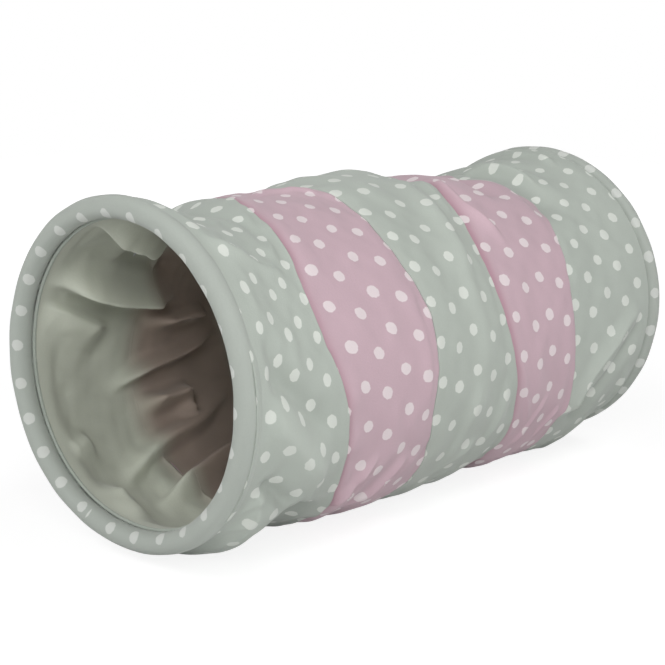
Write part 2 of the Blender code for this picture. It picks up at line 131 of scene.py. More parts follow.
fineFolds = (
    # front grey
    ((0.08, 28, 0.2, 36, 0.32, 40, 0.57, 46, 0.75, 49, 0.96, 51), 1.5, 9, 1.3),
    ((0.04, 93, 0.3, 100, 0.56, 110, 0.9, 124), 5.6, 11, 15),
    ((0.06, 80, 0.36, 86, 0.66, 97, 0.9, 108), -4, 8, 13),
    ((0.14, 116, 0.38, 123, 0.62, 133), -4.4, 5.5, 8),
    ((0.66, 8, 0.84, 24, 0.94, 40), -2.2, 8, 8),
    ((0.1, 133, 0.22, 125, 0.36, 119), 1.8, 2.2, 3),
    ((0.12, 143, 0.28, 134), 1.6, 2.2, 3),
    ((0.3, 142, 0.22, 118), 1.4, 4, 3),
    ((0.78, 140, 0.7, 112), 1.2, 5, 4),
    # front pink
    ((1.04, 140, 1.11, 134, 1.26, 125, 1.44, 116), 2.8, 2.2, 5),
    ((1.34, 144, 1.53, 134, 1.66, 126, 1.8, 121), 2.8, 2.2, 5),
    ((1.26, 146, 1.42, 138, 1.52, 130), 1.2, 4, 1.8),
    ((1.1, 112, 1.24, 134), -1.2, 5, 5),
    ((1.92, 60, 1.9, 112), 1, 8, 3),
    ((1.06, 6, 1.5, 1, 1.86, 6, 2.02, 17), 1.8, 3.5, 5),
    # middle grey
    ((2.86, 10, 2.8, 44, 2.74, 70), 1, 12, 4),
    ((2.56, 98, 2.42, 116, 2.3, 138), 2, 4, 7),
    ((2.98, 100, 2.84, 118, 2.66, 134), 1.8, 4, 7),
    ((2.25, 142, 2.45, 130, 2.62, 122), 1.4, 3.5, 5),
    ((3.16, 4, 3.04, 24, 2.98, 40), 1.8, 5, 3),
    # rear pink
    ((3.3, 4, 3.19, 20, 3.17, 34, 3.24, 44, 3.38, 58), 3.4, 4.2, 3),
    ((3.5, -4, 3.6, 16, 3.62, 36), -3.6, 6, 12),
    ((3.22, 140, 3.44, 124, 3.7, 112), 1.6, 4, 1.8),
    ((3.58, 140, 3.78, 126, 3.92, 120), 1.6, 4, 1.8),
    ((3.1, 92, 3.24, 112, 3.4, 128), 1.2, 3, 5),
    # rear grey
    ((4.06, -12, 4.17, 2, 4.2, 16, 4.24, 38), 4.6, 5.5, 5),
    ((4.74, -14, 4.73, 4, 4.66, 22), 3, 4.5, 4),
    ((4.4, -16, 4.44, 4, 4.4, 20), -3, 8, 8),
    ((4.72, 91, 4.57, 95, 4.38, 103, 4.2, 112, 4.08, 123, 4.03, 130), 3.6, 9, 1.6),
    ((4.72, 112, 4.82, 128, 4.94, 146), 2.2, 3, 8),
    # the far side
    ((0.2, -96, 0.6, -60, 0.8, -40), 2.2, 6, 10),
    ((0.3, -140, 0.66, -112, 0.9, -104), 2.4, 5, 9),
    ((1.15, -46, 1.42, -88, 1.6, -126), 2.2, 7, 10),
    ((1.7, -130, 1.88, -98), 1.8, 5, 8),
    ((2.22, -40, 2.4, -90, 2.3, -132), 2.4, 8, 10),
    ((2.7, -150, 2.86, -112), 2, 4, 7),
    ((3.2, -38, 3.52, -80, 3.66, -124), 2.2, 7, 10),
    ((3.86, -150, 3.62, -120), 2, 5, 6),
    ((4.7, -82, 4.4, -104, 4.1, -128), 2.6, 4, 9),
    ((4.2, -50, 4.5, -66, 4.74, -70), 1.8, 6, 8),
)
print("sizes and folds ready")

# What shapes the cloth besides the folds; a set of waves is its seed, longest and shortest wave, number of
# waves, and the widest angle between their crests and a ring round the tunnel
creases = {
    "pathSteps": 7,   # points for each span of a line
    "fade": 0.3,   # share of a fine fold's length over which each end fades
    "fineGain": 1.5,   # fine folds are this much higher
    "slack": 0.0009, "slackWaves": (5, 0.06, 0.014, 14, 1.1),
    "seamPull": 0.001, "seamPullWidth": 0.006,
    "pucker": 0.00035, "puckerWidth": 0.011, "puckerWaves": (9, 0.026, 0.012, 6, 1.5),
    "join": 0.0008, "joinWidth": 0.0035,
    "softLift": 0.0012, "softReach": 0.022, "softBlend": 0.0045, "softOut": 0.00005,
    "crispBlend": 0.0004, "inset": 0.0005, "rimFall": 4, "floorBlend": 0.0012,
}
# The cloth runs smoothly off the front rim near one angle, and its tuck there is filled near another: each
# is an angle in degrees, the least cosine of the way from it, and the fade of that cosine
joins = {
    "soft": (104, 0.8, 0.12), "filled": (65, 0.05, 0.25), "frontShare": 0.8,
    "crease": 0.0104, "creaseWidth": 0.0026,   # the tuck at the rear rim is only this wide
}


# The cloth's shape
def ease(value):   # 0 below 0, 1 above 1, and 3t^2 - 2t^3 between
    t = np.clip(value, 0.0, 1.0)
    return t * t * (3 - 2 * t)


def smoothMax(a, b, room):   # the larger of two, rounded off where they are within room of each other
    near = np.clip(1 - np.abs(a - b) / room, 0, 1)
    return np.maximum(a, b) + near * near * room / 4


def around(turn, middle):   # how far turn is from the angle in the middle, from minus pi to pi
    return np.arctan2(np.sin(turn - middle), np.cos(turn - middle))


def nearAngle(turn, degrees, least, fade):   # 1 near an angle, 0 away from it
    return ease((np.cos(turn - math.radians(degrees)) - least) / fade)


def fromHoop(run):   # distance along the cloth to the nearer hoop
    return np.minimum(run, tunnel["length"] - run)


def onFrontHalf(run):
    return run < tunnel["length"] / 2


def ramp(run, start, end):   # 0 as far as start from the nearer hoop, and 1 from end on
    return ease((fromHoop(run) - start) / (end - start))


def station(run, turn):
    # distance along the axis: run, less lean times cosine and yaw times sine of turn, plus the bow and
    # skew of the seams, which are read between the seams in straight lines
    first = tunnel["slumpRamp"][0]
    stops = (first, *marks[1:-1], tunnel["length"] - first)
    lean, yaw, bow, skew = (np.interp(run, stops, (0.0, *tunnel[kind], 0.0))
                            for kind in ("leans", "yaws", "bows", "skews"))
    atHoop = np.interp(run, stops[:2], (1.0, 0.0))
    lean = lean + atHoop * tunnel["frontLean"]
    yaw = yaw + atHoop * tunnel["frontYaw"]
    return run - lean * np.cos(turn) - yaw * np.sin(turn) + bow * np.cos(2 * turn) - skew * np.sin(2 * turn)


def hoopPress(run, turn):   # how far the front hoop's pressed foot draws the cloth in
    off = around(turn, tunnel["foot"]) / tunnel["footWidth"]
    return tunnel["press"] * np.exp(-off ** 2) * (1 - ease(run / tunnel["tuckRamp"][1]))


def wireTurn(run):   # angle of the spring wire, one full turn for each pitch
    return 2 * np.pi * (run - spring["firstTop"]) / spring["pitch"]


def overWire(run, turn):
    # 0 on the wire, which holds the cloth out, to 1 away from it: 1 - exp(-(distance / hold)^2)
    behind = (turn - wireTurn(run)) / (2 * np.pi)
    off = np.abs(behind - np.round(behind)) * spring["pitch"]
    return 1 - np.exp(-(off / spring["hold"]) ** 2)


def smoothPath(knots):   # Catmull-Rom curve through the knots
    ends = np.vstack((2 * knots[0] - knots[1], knots, 2 * knots[-1] - knots[-2]))
    t = np.linspace(0, len(knots) - 1, creases["pathSteps"] * (len(knots) - 1) + 1)
    k = np.minimum(t.astype(int), len(knots) - 2)
    f = (t - k)[:, None]
    a, b, c, d = (ends[k + n] for n in range(4))
    bend = (2 * a - 5 * b + 4 * c - d) * f ** 2 + (3 * b - a - 3 * c + d) * f ** 3
    return 0.5 * (2 * b + (c - a) * f + bend)


def foldRise(run, turn, folds, fades, free=1.0):
    # each fold is its height times exp(-(distance / half width)^2), measured on the flat cloth from its line,
    # and times free where it sinks
    height = np.zeros(np.broadcast(run, turn).shape)
    radius = tunnel["clothRadius"]
    for knots, *sizes in folds:
        rise, lower, *upper = np.array(sizes) / 1000
        knots = np.reshape(knots, (-1, 2))
        line = np.column_stack((np.interp(knots[:, 0], np.arange(len(marks)), marks),
                                np.radians(knots[:, 1]) * radius))
        line = smoothPath(line) if len(line) > 2 else line
        middle = line[:, 1].mean() / radius
        arc = (turn + 2 * np.pi * np.round((middle - turn) / (2 * np.pi))) * radius
        best = np.full(height.shape, np.inf)
        side, share = np.zeros(height.shape), np.zeros(height.shape)
        for index, (start, end) in enumerate(zip(line[:-1], line[1:])):
            along = end - start
            offRun, offArc = run - start[0], arc - start[1]
            t = np.clip((offRun * along[0] + offArc * along[1]) / (along @ along), 0, 1)
            distance = (offRun - t * along[0]) ** 2 + (offArc - t * along[1]) ** 2
            closer = distance < best
            best = np.where(closer, distance, best)
            side = np.where(closer, along[0] * offArc - along[1] * offRun, side)
            share = np.where(closer, (index + t) / (len(line) - 1), share)
        width = np.where(side > 0, lower, upper[0] if upper else lower)
        ridge = rise * np.exp(-best / width ** 2)
        if fades:
            ridge = ridge * ease(np.minimum(share, 1 - share) / creases["fade"])
        height = height + (ridge if rise > 0 else ridge * free)
    return height


def waves(run, turn, seed, longest, shortest, count, spread):
    # sum of sine waves that close round the tunnel, most of them with their crests running round it
    draw = np.random.default_rng(seed)
    total = np.zeros(np.broadcast(run, turn).shape)
    for length in np.geomspace(longest, shortest, count):
        angle = draw.uniform(-spread, spread)
        number = 2 * math.pi / length
        rounds = round(number * math.sin(angle) * tunnel["clothRadius"])
        phase = draw.uniform(0, 2 * math.pi)
        total += length / longest * np.sin(number * math.cos(angle) * run + rounds * turn + phase)
    return total / math.sqrt(count / 2)


def seamDistance(run):   # distance along the cloth to the nearest seam between two panels
    return np.min([np.abs(run - seam) for seam in marks[1:-1]], axis=0)


def clothRise(run, turn):   # everything that lifts or sinks the cloth from its slumped tube
    free = overWire(run, turn)
    rise = foldRise(run, turn, mainFolds, False, free)
    rise = rise + creases["fineGain"] * foldRise(run, turn, fineFolds, True, free)
    slack = creases["slack"] * waves(run, turn, *creases["slackWaves"])
    rise = rise + np.where(slack > 0, slack, slack * free)
    off = seamDistance(run)
    pull = creases["seamPull"] * np.exp(-(off / creases["seamPullWidth"]) ** 2)
    ripple = waves(run, turn, *creases["puckerWaves"]) * np.exp(-off / creases["puckerWidth"])
    return (rise - pull + creases["pucker"] * ripple) * ramp(run, *tunnel["foldRamp"])


def slumped(run, turn):   # the tube without its folds: tucked in at both rims and sunk between them
    drop = tunnel["slump"] * ramp(run, *tunnel["slumpRamp"])
    tuck = 1 - ramp(run, *tunnel["tuckRamp"])
    radius = tunnel["clothRadius"] - (tunnel["clothRadius"] - tunnel["tuckRadius"]) * tuck
    return radius - hoopPress(run, turn) - drop * np.cos(turn)


def joinFill(run, turn):
    # how far the tuck is filled: up to a crisp crease at the rear rim, and on the near side of the front rim
    tuck = 1 - ramp(run, *tunnel["tuckRamp"])
    front = nearAngle(turn, *joins["filled"]) * joins["frontShare"]
    rear = ease((fromHoop(run) - joins["crease"]) / joins["creaseWidth"])
    return (tunnel["clothRadius"] - tunnel["tuckRadius"]) * tuck * np.where(onFrontHalf(run), front, rear)


def floorRadius(turn):   # radius at which the floor lies
    return tunnel["axisHeight"] / np.maximum(-np.cos(turn), 1e-6)


def clothRadius(run, turn):
    # the slumped tube with its folds, laid on the floor and let into the padded rims or rounded over them
    soft = nearAngle(turn, *joins["soft"]) * onFrontHalf(run)
    radius = slumped(run, turn) + clothRise(run, turn) + joinFill(run, turn)
    radius = radius + creases["softLift"] * soft * (1 - ease(fromHoop(run) / creases["softReach"]))
    radius = -smoothMax(-radius, -floorRadius(turn), creases["floorBlend"])
    inRim = np.clip(tunnel["rimTube"] ** 2 - fromHoop(run) ** 2, 0, None)
    rim = tunnel["hoopRadius"] - hoopPress(0.0, turn) * onFrontHalf(run) + np.sqrt(inRim)
    rim = rim - creases["inset"] * (1 - soft) + creases["softOut"] * soft
    rim = rim - np.maximum(fromHoop(run) - tunnel["rimTube"], 0) * creases["rimFall"]
    return smoothMax(radius, rim, creases["crispBlend"] + creases["softBlend"] * soft)


def spot(along, radius, turn):   # point at a distance along the axis, a radius and an angle
    along, radius, turn = np.broadcast_arrays(along, radius, turn)
    return np.stack((along - tunnel["length"] / 2, -radius * np.sin(turn),
                     tunnel["axisHeight"] + radius * np.cos(turn)), axis=-1)


# Meshes
def addPiece(name, mesh):
    mesh.validate()
    mesh.shade_smooth()
    piece = bpy.data.objects.new(name, mesh)
    bpy.context.scene.collection.objects.link(piece)
    return piece


def gridMesh(name, points, across, down, marksOn=None):
    # closed grid of rings: rows go round the section, columns round the tunnel; across and down are the
    # cloth's own lengths at both, with one more of each for the far edge; marksOn holds the points' values
    rows, columns = points.shape[:2]
    down = np.broadcast_to(down.reshape(rows + 1, -1), (rows + 1, columns + 1))
    i, j = np.meshgrid(np.arange(rows), np.arange(columns), indexing="ij")
    below, beside = (i + 1) % rows, (j + 1) % columns
    corners = (i * columns + j, i * columns + beside, below * columns + beside, below * columns + j)
    quads = np.stack(corners, -1)
    mesh = bpy.data.meshes.new(name)
    mesh.vertices.add(rows * columns)
    mesh.vertices.foreach_set("co", points.astype(np.float32).ravel())
    mesh.loops.add(quads.size)
    mesh.loops.foreach_set("vertex_index", quads.astype(np.int32).ravel())
    mesh.polygons.add(rows * columns)
    mesh.polygons.foreach_set("loop_start", np.arange(0, quads.size, 4, dtype=np.int32))
    mesh.update(calc_edges=True)
    u = np.stack((across[j], across[j + 1], across[j + 1], across[j]), -1)
    v = np.stack((down[i, j], down[i, j + 1], down[i + 1, j + 1], down[i + 1, j]), -1)
    flat = mesh.uv_layers.new(name="flat")
    flat.data.foreach_set("uv", np.stack((u, v), -1).astype(np.float32).ravel())
    for label, values in (marksOn or {"crest": np.zeros((rows, columns))}).items():
        layer = mesh.attributes.new(label, "FLOAT", "POINT")
        layer.data.foreach_set("value", values.astype(np.float32).ravel())
    return addPiece(name, mesh)


def rowsAcross(start, end, sewn):
    # runs of one panel's rows, close together beside its edges; sewn tells which of the two is a seam
    beside = np.array(panels["seamRows"]) / 1000
    front, rear = (beside if edge else np.linspace(0.0, *panels["rimRows"]) for edge in sewn)
    first, last = start + front[-1] + panels["rowMargin"], end - rear[-1] - panels["rowMargin"]
    inside = np.linspace(first, last, int((end - start) / panels["rowStep"]))
    return np.concatenate((start + front, inside, (end - rear)[::-1]))


def lipDepth(run, index):   # how far the cloth dips at its seams: each dip times exp(-distance / reach)
    depth = np.zeros(run.shape)
    for edge, side in ((index, 2), (index + 1, 0)):
        if 0 < edge < len(marks) - 1:
            dip, reach = panels["dips"][edge - 1][side:side + 2]
            depth = depth + dip * np.exp(-np.abs(run - marks[edge]) / reach)
    return depth


def waver(edge, turn):   # how far a seam strays from its mark
    if not 0 < edge < len(marks) - 1:
        return 0.0 * turn
    shift, height, count, crest = panels["wavers"][edge - 1]
    strayed = shift + height * np.cos(count * (turn - math.radians(crest)))
    for seam, middle, width, far in panels["strays"]:
        if seam == edge:
            off = around(turn, math.radians(middle))
            strayed = strayed + far * np.exp(-(off / math.radians(width)) ** 2)
    return strayed


def panelEdges(index, rimEdge):   # a panel's first and last run, and which of those edges are seams
    last = len(panels["names"]) - 1
    start = marks[index] + panels["seamGap"] / 2 if index > 0 else rimEdge
    end = marks[index + 1] - panels["seamGap"] / 2 if index < last else tunnel["length"] - rimEdge
    return start, end, (index > 0, index < last)


def outerPanel(index, name, finish):
    start, end, sewn = panelEdges(index, panels["rimEdge"])
    straight = rowsAcross(start, end, sewn)
    join = math.radians(panels["joins"][index])
    turn = join + np.linspace(0, 2 * np.pi, panels["columns"] + 1)
    ring = turn[:-1]
    share = ((straight - start) / (end - start))[:, None]
    run = straight[:, None] + waver(index, ring) * (1 - share) + waver(index + 1, ring) * share
    fromJoin = np.minimum(ring - join, 2 * np.pi - (ring - join)) * tunnel["clothRadius"]
    radius = clothRadius(run, ring) - creases["join"] * np.exp(-(fromJoin / creases["joinWidth"]) ** 2)
    radius = radius - lipDepth(straight, index)[:, None] * overWire(run, ring)
    along = station(run, ring)
    outer = spot(along, radius, ring)
    # hems turn in at the edges, deeper where the next panel stands lower; the inside has half the rows
    hem = np.linspace(*panels["hem"])[:, None]
    step = max(0.0, panels["dips"][index][2] - panels["dips"][index][0]) if sewn[1] else 0.0
    rearHem = spot(along[-1] - panels["hemSlope"] * hem, radius[-1] - hem * (1 + step / hem[-1]), ring)
    frontHem = spot(along[0] + panels["hemSlope"] * hem[::-1], radius[0] - hem[::-1], ring)
    back = slice(-4, 3, -2)
    inner = spot(along[back], radius[back] - panels["outerWall"], ring)

    def onAll(values):   # values of the outside's rows, repeated on the hems and the inside
        rear, front = (np.repeat(edge, len(hem), 0) for edge in (values[-1:], values[:1]))
        return np.concatenate((values, rear, values[back], front))

    # painted shade beside the panel's front edge; only pink cloth shows it
    paintedSeamShade = np.exp(-((straight - start) / panels["paintedSeamShade"]) ** 2)
    down = np.concatenate((run, run[-1] + hem, run[back], run[0] - hem[::-1], run[:1]))
    down = np.concatenate((down, down[:, :1]), 1)
    # crest is the fold height, which the cloth's colour turns into painted light and shade
    piece = gridMesh(name + "_cloth", np.concatenate((outer, rearHem, inner, frontHem)),
                     turn * tunnel["clothRadius"], down,
                     {"crest": onAll(clothRise(run, ring)) * 1000,
                      "paintedSeamShade": np.repeat(onAll(paintedSeamShade)[:, None], len(ring), 1)})
    return dressCloth(piece, name, "_panel", finish)


def dress(piece, body, solid, finish):   # its finish, body, and the solid it replaces
    piece.data.materials.append(finish)
    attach(piece, body)
    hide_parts(solid)


def pressFlat(piece):   # gives it a mesh of its own
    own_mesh(piece)


def dressCloth(piece, name, ending, finish):   # a panel or its lining
    dress(piece, name + "_section", name + ending, finish)
    pressFlat(piece)
    return piece


# Shader maths
class Flow:   # a value that flows from one shader node's socket to others
    def __init__(self, tree, socket):
        self.tree, self.socket = tree, socket

    def maths(self, operation, *others):
        return node(self.tree, "Math", {"operation": operation}, dict(enumerate((self, *others))))

    def __add__(self, other): return self.maths("ADD", other)
    def __sub__(self, other): return self.maths("SUBTRACT", other)
    def __rsub__(self, other): return (self * -1).maths("ADD", other)
    def __mul__(self, other): return self.maths("MULTIPLY", other)
    def __truediv__(self, other): return self.maths("DIVIDE", other)
    def __pow__(self, other): return self.maths("POWER", other)
    __radd__ = __add__


def node(tree, kind, settings=None, values=None, out=0):
    # any shader node: its settings first, then values or links for its sockets, by name or number
    made = tree.nodes.new("ShaderNode" + kind)
    for key, value in (settings or {}).items():
        setattr(made, key, value)
    for key, value in (values or {}).items():
        if isinstance(value, Flow):
            tree.links.new(value.socket, made.inputs[key])
        else:
            made.inputs[key].default_value = value
    return Flow(tree, made.outputs[out])


def newMaterial(name, fixed):
    # material with its Principled shader's constants set on the sockets
    made = bpy.data.materials.new(name)
    made.use_nodes = True
    shader = made.node_tree.nodes["Principled BSDF"]
    for key, value in fixed.items():
        shader.inputs[key].default_value = value
    return made, made.node_tree, shader


def feed(tree, shader, **links):
    for key, flow in links.items():
        tree.links.new(flow.socket, shader.inputs[key.replace("_", " ")])


def tone(red, green, blue):   # sRGB numbers, 0 to 255, as a linear colour
    return tuple(((c / 255 + 0.055) / 1.055) ** 2.4 for c in (red, green, blue)) + (1.0,)


def scaled(colour, share):   # a colour made darker or lighter
    return tuple(min(1.0, c * share) for c in colour[:3]) + (1.0,)


def blend(tree, share, first, second):   # colour mix
    return node(tree, "Mix", {"data_type": "RGBA"}, {0: share, 6: first, 7: second}, out=2)


def noise(tree, vector, scale, detail=2.0, rough=0.5):
    values = {"Vector": vector, "Scale": scale, "Detail": detail, "Roughness": rough}
    return node(tree, "TexNoise", {}, values)


def marked(tree, name):   # a value that gridMesh stored on the points
    return node(tree, "Attribute", {"attribute_name": name}, out=2)


def three(tree, vector):   # the three numbers of a vector or a colour
    split = node(tree, "SeparateXYZ", {}, {0: vector}).socket.node
    return [Flow(tree, out) for out in split.outputs]


brushed = {
    "mottle": 0.06, "grain": 0.075,   # uneven tone, in patches and from fibre to fibre
    "ridge": 0.012,   # painted light and shade: lighter by this share for each millimetre of a fold's height, darker for each of a hollow's depth
    "toneSpan": 0.2,   # the darkest and lightest tones are this far from the plain one
    "patches": (38.0, 3.0), "fibres": (620.0, 3.0, 0.65), "flock": (1900.0, 2.0, 0.6),   # noise
    "knit": 5200,
    "nap": 0.00035, "bump": 0.55, "grainRelief": 0.7, "flockRelief": 0.45, "knitRelief": 0.06,
    "sheen": 0.22, "sheenRough": 0.45, "specular": 0.18, "rough": 0.88, "roughUneven": 0.1,
    # share of the painted seam shade's colour at the seam
    "paintedSeamShadeShare": 0.9,
}
ink = {
    "ragged": 0.0016, "raggedScale": 420.0, "sizes": 0.0006,   # unevenness of a dot's edge and size
    "edge": (-0.0003, 0.0004),   # it fades between these distances from its radius
    "cover": 0.93, "coverUneven": 0.25,   # how much of the cloth the ink hides
    "smooth": 0.12, "flatten": 0.35, "lift": 0.12,
}


def dotCover(tree, uv, u, v, dots):
    # 1 inside the print's dots, on the flat cloth: u round the tunnel and v along it, in metres; the rows run
    # a little out of true, and sway as a sine of u
    sway = ((u - dots["swayAt"]) * (2 * math.pi / dots["swayLength"])).maths("SINE") * dots["sway"]
    level = v - sway - (u - dots["middle"]) * dots["slope"]
    row = ((level - dots["row"]) / dots["rowPitch"]).maths("ROUND")
    odd = ((row * 0.5).maths("FRACT") * 2).maths("ABSOLUTE")
    place = (u - dots["dot"] - odd * dots["stagger"] - row * dots["tilt"]) / dots["dotPitch"]
    column = place.maths("ROUND")
    cell = node(tree, "CombineXYZ", {}, {0: row, 1: column, 2: dots["seed"]})
    chance = node(tree, "TexWhiteNoise", {"noise_dimensions": "3D"}, {"Vector": cell}, out="Color")
    draws = [draw - 0.5 for draw in three(tree, chance)]
    offU = (place - column) * dots["dotPitch"] + draws[0] * dots["uneven"]
    offV = level - dots["row"] - row * dots["rowPitch"] + draws[1] * dots["uneven"]
    ragged = (noise(tree, uv, ink["raggedScale"]) - 0.5) * ink["ragged"]
    distance = (offU * offU + offV * offV) ** 0.5 + ragged + draws[2] * ink["sizes"]
    inner, outer = (dots["radius"] + edge for edge in ink["edge"])
    printed = node(tree, "MapRange", {"interpolation_type": "SMOOTHSTEP"},
                   {"Value": distance, "From Min": inner, "From Max": outer, "To Min": 1.0, "To Max": 0.0})
    return printed * v.maths("LESS_THAN", dots["reach"])


def brushedCloth(name, colour, dots=None, shift=0.0, warmColour=None, paintedSeamShadeColour=None):
    # brushed cotton: a soft nap over a fine knit, patchy in tone, with painted light on its fold ridges and
    # painted shade in its hollows; dots is None or the print, shift sets its patches apart, and the last two
    # colours come in with the attributes of their names, the second of them a painted shade beside a seam
    made, tree, shader = newMaterial(name, {"Sheen Weight": brushed["sheen"],
                                            "Sheen Roughness": brushed["sheenRough"],
                                            "Specular IOR Level": brushed["specular"]})
    flat = node(tree, "UVMap", {"uv_map": "flat"})
    uv = node(tree, "VectorMath", {"operation": "ADD"}, {0: flat, 1: (0.0, 0.0, shift)})
    u, v = three(tree, uv)[:2]
    patches = noise(tree, uv, *brushed["patches"])
    grain = noise(tree, uv, *brushed["fibres"])
    flock = noise(tree, uv, *brushed["flock"])
    uneven = (patches - 0.5) * brushed["mottle"] + (grain - 0.5) * brushed["grain"]
    # random tone, plus painted light on fold ridges and painted shade in hollows from the crest attribute
    light = uneven + marked(tree, "crest") * brushed["ridge"]
    span = brushed["toneSpan"]
    tones = [blend(tree, light / (2 * span) + 0.5, scaled(cloth, 1 - span), scaled(cloth, 1 + span))
             for cloth in (colour, warmColour) if cloth]
    base = blend(tree, marked(tree, "warm"), *tones) if warmColour else tones[0]
    # painted shade beside the front seam of a pink panel, standing in for the shadow there
    if paintedSeamShadeColour:
        base = blend(tree, marked(tree, "paintedSeamShade") * brushed["paintedSeamShadeShare"], base, paintedSeamShadeColour)
    rough = brushed["rough"] + (grain - 0.5) * brushed["roughUneven"]
    knit = (u * brushed["knit"]).maths("SINE") * (v * brushed["knit"]).maths("SINE")
    height = grain * brushed["grainRelief"] + flock * brushed["flockRelief"] + knit * brushed["knitRelief"]
    if dots:
        printed = dotCover(tree, uv, u, v, dots)
        base = blend(tree, printed * (ink["cover"] + (flock - 0.5) * ink["coverUneven"]), base, dots["ink"])
        rough = rough - printed * ink["smooth"]
        height = height * (1 - printed * ink["flatten"]) + printed * ink["lift"]
    bump = node(tree, "Bump", {}, {"Strength": brushed["bump"], "Distance": brushed["nap"], "Height": height})
    feed(tree, shader, Base_Color=base, Roughness=rough, Normal=bump)
    return made


plain = {"fine": 0.8, "broad": 0.6, "broader": 12, "fineRough": 0.6, "rough": 0.2, "bump": 0.5}


def plainMaterial(name, colour, fixed, scale, span, bumpDepth):
    # one colour with fine uneven tone, roughness and relief, on object coordinates
    made, tree, shader = newMaterial(name, fixed)
    place = node(tree, "TexCoord", out=3)
    fine = noise(tree, place, scale, 3.0, plain["fineRough"])
    broad = noise(tree, place, scale / plain["broader"])
    share = (fine - 0.5) * plain["fine"] + (broad - 0.5) * plain["broad"] + 0.5
    base = blend(tree, share, scaled(colour, 1 - span), scaled(colour, 1 + span))
    rough = (fine - 0.5) * plain["rough"] + fixed["Roughness"]
    bump = node(tree, "Bump", {}, {"Strength": plain["bump"], "Distance": bumpDepth, "Height": fine})
    feed(tree, shader, Base_Color=base, Roughness=rough, Normal=bump)
    return made


clothTones = {
    "grey": tone(177, 184, 176), "pink": tone(198, 172, 181), "rim": tone(173, 179, 172),
    # painted shade beside a pink panel's front seam
    "pinkPaintedSeamShade": tone(176, 138, 150),
    "greyLining": tone(195, 199, 186), "pinkLining": tone(166, 151, 141),
    "inkOnGrey": tone(215, 219, 212), "inkOnPink": tone(228, 217, 219), "inkOnRim": tone(209, 212, 207),
}
# The print's dots lie in rows round the tunnel: stagger shifts every other row and tilt each from the last,
# slope leans the rows about the middle, sway bends them, and reach is their last run
dotPrint = {
    "radius": 0.0045, "uneven": 0.0016, "seed": 3.0, "middle": 0.92, "stagger": 0.0086, "tilt": 0.0,
    "slope": 0.0, "sway": 0.0, "swayAt": 0.0, "swayLength": 1.0, "reach": 9.0,
}
placing = ("row", "rowPitch", "dot", "dotPitch", "stagger", "tilt", "slope", "sway", "swayAt", "swayLength",
           "reach")
prints = {
    "front_rim": (-0.0177, 0.06, -0.0015, 0.02967),
    "rear_rim": (0.0029, 0.045, -0.0097, 0.0314),
    "front_grey": (0.016, 0.0183, 0.0314, 0.0288, -0.0095, 0.0034, 0.05, -0.006, 0.947, 0.234),
    "front_pink": (0.1171, 0.0197, -0.0015, 0.0297, 0.0111, -0.0028, 0.011, 0.0041, 0.944, 0.194),
    "middle_grey": (0.1989, 0.0213, 0.0133, 0.0296, 0.0082, -0.0014, -0.023, 0.0032, 0.857, 0.259),
    "rear_pink": (0.2957, 0.02, 0.02, 0.0302, 0.0077, 0.0013, 0.028, 0.0056, 0.892, 0.342),
    "rear_grey": (0.3934, 0.0193, 0.0031, 0.0292, -0.0109, -0.0016, 0.027, -0.0022, 0.809, 0.197, 0.4655),
}


def clothOf(name):   # the dotted cloth of one panel or rim
    kind = "pink" if "pink" in name else "rim" if "rim" in name else "grey"
    dots = {**dotPrint, **dict(zip(placing, prints[name])), "ink": clothTones["inkOn" + kind.capitalize()]}
    # pink cloth gets the painted shade beside its front seam
    deep = clothTones["pinkPaintedSeamShade"] if kind == "pink" else None
    return brushedCloth(name + "_print", clothTones[kind], dots, 0.1 * len(name), None, deep)


print("materials ready")

# Outer cloth
for index, name in enumerate(panels["names"]):
    piece = outerPanel(index, name, clothOf(name))
    width = marks[index + 1] - marks[index]
    width + 0.004
print("outer cloth ready")

